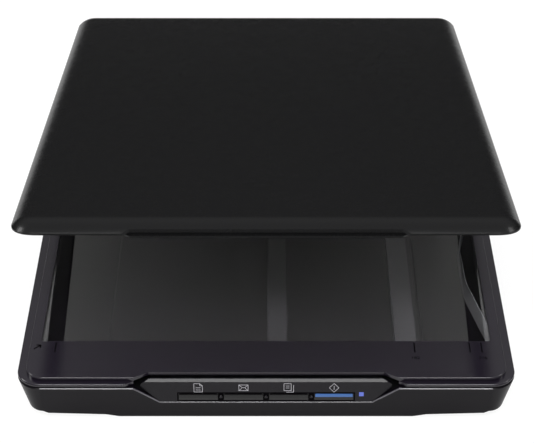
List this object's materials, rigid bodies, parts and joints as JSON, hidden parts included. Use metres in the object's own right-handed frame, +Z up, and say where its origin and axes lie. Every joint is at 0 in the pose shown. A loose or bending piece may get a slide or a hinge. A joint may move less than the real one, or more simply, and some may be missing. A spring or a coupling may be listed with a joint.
{
  "type": "flatbed scanner",
  "caption": "Slim desktop flatbed scanner: hinged document lid over a bezel-framed glass, moving scan carriage on a rack, sloping front button panel.",
  "frame": {"origin": "middle of the scanner's footprint, on the desk", "axes": "+X to the user's right, +Y to the rear where the lid is hinged, +Z up"},
  "size_m": [0.249, 0.364, 0.1053],
  "materials": {
    "case_black": "fine grained",
    "frame_black": "satin",
    "lid_black": "satin with a fine grain",
    "lid_inner": "satin",
    "panel_black": "satin",
    "button_black": "satin",
    "stripe_blue": "satin",
    "light_blue": "clear tinted",
    "scan_glass": "polished",
    "tape_black": "matt",
    "strip_white": "matt",
    "circuit_board": "solder mask",
    "chip_black": "matt",
    "steel": "plated",
    "ribbon_white": "smooth",
    "foot_rubber": "matt",
    "rail_grey": "smooth",
    "gear_white": "smooth",
    "carriage_black": "matt",
    "lens_clear": "clear",
    "mat_white": "matt",
    "foam_grey": "open cell"
  },
  "bodies": {
    "base": {"lower_case": "case_black", "upper_frame": "frame_black", "document_glass": "scan_glass", "glass_tape": "tape_black", "calibration_strip": "strip_white", "button_panel": "panel_black", "status_light": "light_blue", "button_board": "circuit_board", "tact_switches": "chip_black", "rack_rail": "rail_grey", "slide_rail": "rail_grey", "main_board": "circuit_board", "board_components": "chip_black", "board_screws": "steel", "usb_socket": "steel", "ribbon_cable": "ribbon_white", "ribbon_tail": "ribbon_white", "rubber_feet": "foot_rubber", "case_screws": "steel"},
    "button_document": {"button_document": "button_black"},
    "button_mail": {"button_mail": "button_black"},
    "button_copy": {"button_copy": "button_black"},
    "button_start": {"button_start": "button_black", "start_stripe": "stripe_blue"},
    "carriage": {"carriage_frame": "carriage_black", "sensor_housing": "carriage_black", "sensor_glass": "lens_clear", "rod_lens": "lens_clear", "light_guide": "lens_clear", "sensor_board": "circuit_board", "glide_pads": "gear_white", "lift_springs": "steel", "drive_motor": "steel", "motor_screws": "steel", "gear_axle": "steel"},
    "motor_rotor": {"motor_shaft": "steel", "motor_pinion": "gear_white"},
    "reduction_gear": {"reduction_gear": "gear_white"},
    "hinge_lift": {"hinge_post_left": "case_black", "hinge_post_right": "case_black", "hinge_pins": "steel"},
    "lid": {"lid_shell": "lid_black", "lid_inner_panel": "lid_inner", "foam_pad": "foam_grey", "white_mat": "mat_white", "lid_screws": "steel", "lid_arm_left": "case_black", "lid_arm_right": "case_black"}
  },
  "joints": [
    {"name": "lid_lift", "type": "slide", "parent": "base", "child": "hinge_lift", "axis": [0, 0, 1], "range_m": [0, 0.012]},
    {"name": "lid_hinge", "type": "hinge", "parent": "hinge_lift", "child": "lid", "pos_m": [0, 0.1796, 0.0306], "axis": [-1, 0, 0], "range_deg": [-11.34, 98.66]},
    {"name": "carriage_slide", "type": "slide", "parent": "base", "child": "carriage", "axis": [0, 1, 0], "range_m": [0, 0.305], "deforming": ["ribbon_cable"]},
    {"name": "reduction_spin", "type": "hinge", "parent": "carriage", "child": "reduction_gear", "pos_m": [-0.00324, -0.162, 0.01], "axis": [0, 0, 1], "range_deg": [-4200, 20]},
    {"name": "motor_spin", "type": "hinge", "parent": "carriage", "child": "motor_rotor", "pos_m": [-0.01944, -0.162, 0.01], "axis": [0, 0, 1], "range_deg": [-20, 18400]},
    {"name": "document_press", "type": "slide", "parent": "base", "child": "button_document", "axis": [0, 0.994, -0.1096], "range_m": [0, 0.0005], "stiffness_N_per_m": 600, "springref_m": -0.0005},
    {"name": "mail_press", "type": "slide", "parent": "base", "child": "button_mail", "axis": [0, 0.994, -0.1096], "range_m": [0, 0.0005], "stiffness_N_per_m": 600, "springref_m": -0.0005},
    {"name": "copy_press", "type": "slide", "parent": "base", "child": "button_copy", "axis": [0, 0.994, -0.1096], "range_m": [0, 0.0005], "stiffness_N_per_m": 600, "springref_m": -0.0005},
    {"name": "start_press", "type": "slide", "parent": "base", "child": "button_start", "axis": [0, 0.994, -0.1096], "range_m": [0, 0.0005], "stiffness_N_per_m": 600, "springref_m": -0.0005}
  ],
  "couplings": [
    {"joint": "reduction_spin", "follows": "carriage_slide", "rad_per_m": -238.1},
    {"joint": "motor_spin", "follows": "carriage_slide", "rad_per_m": 1047.6}
  ]
}
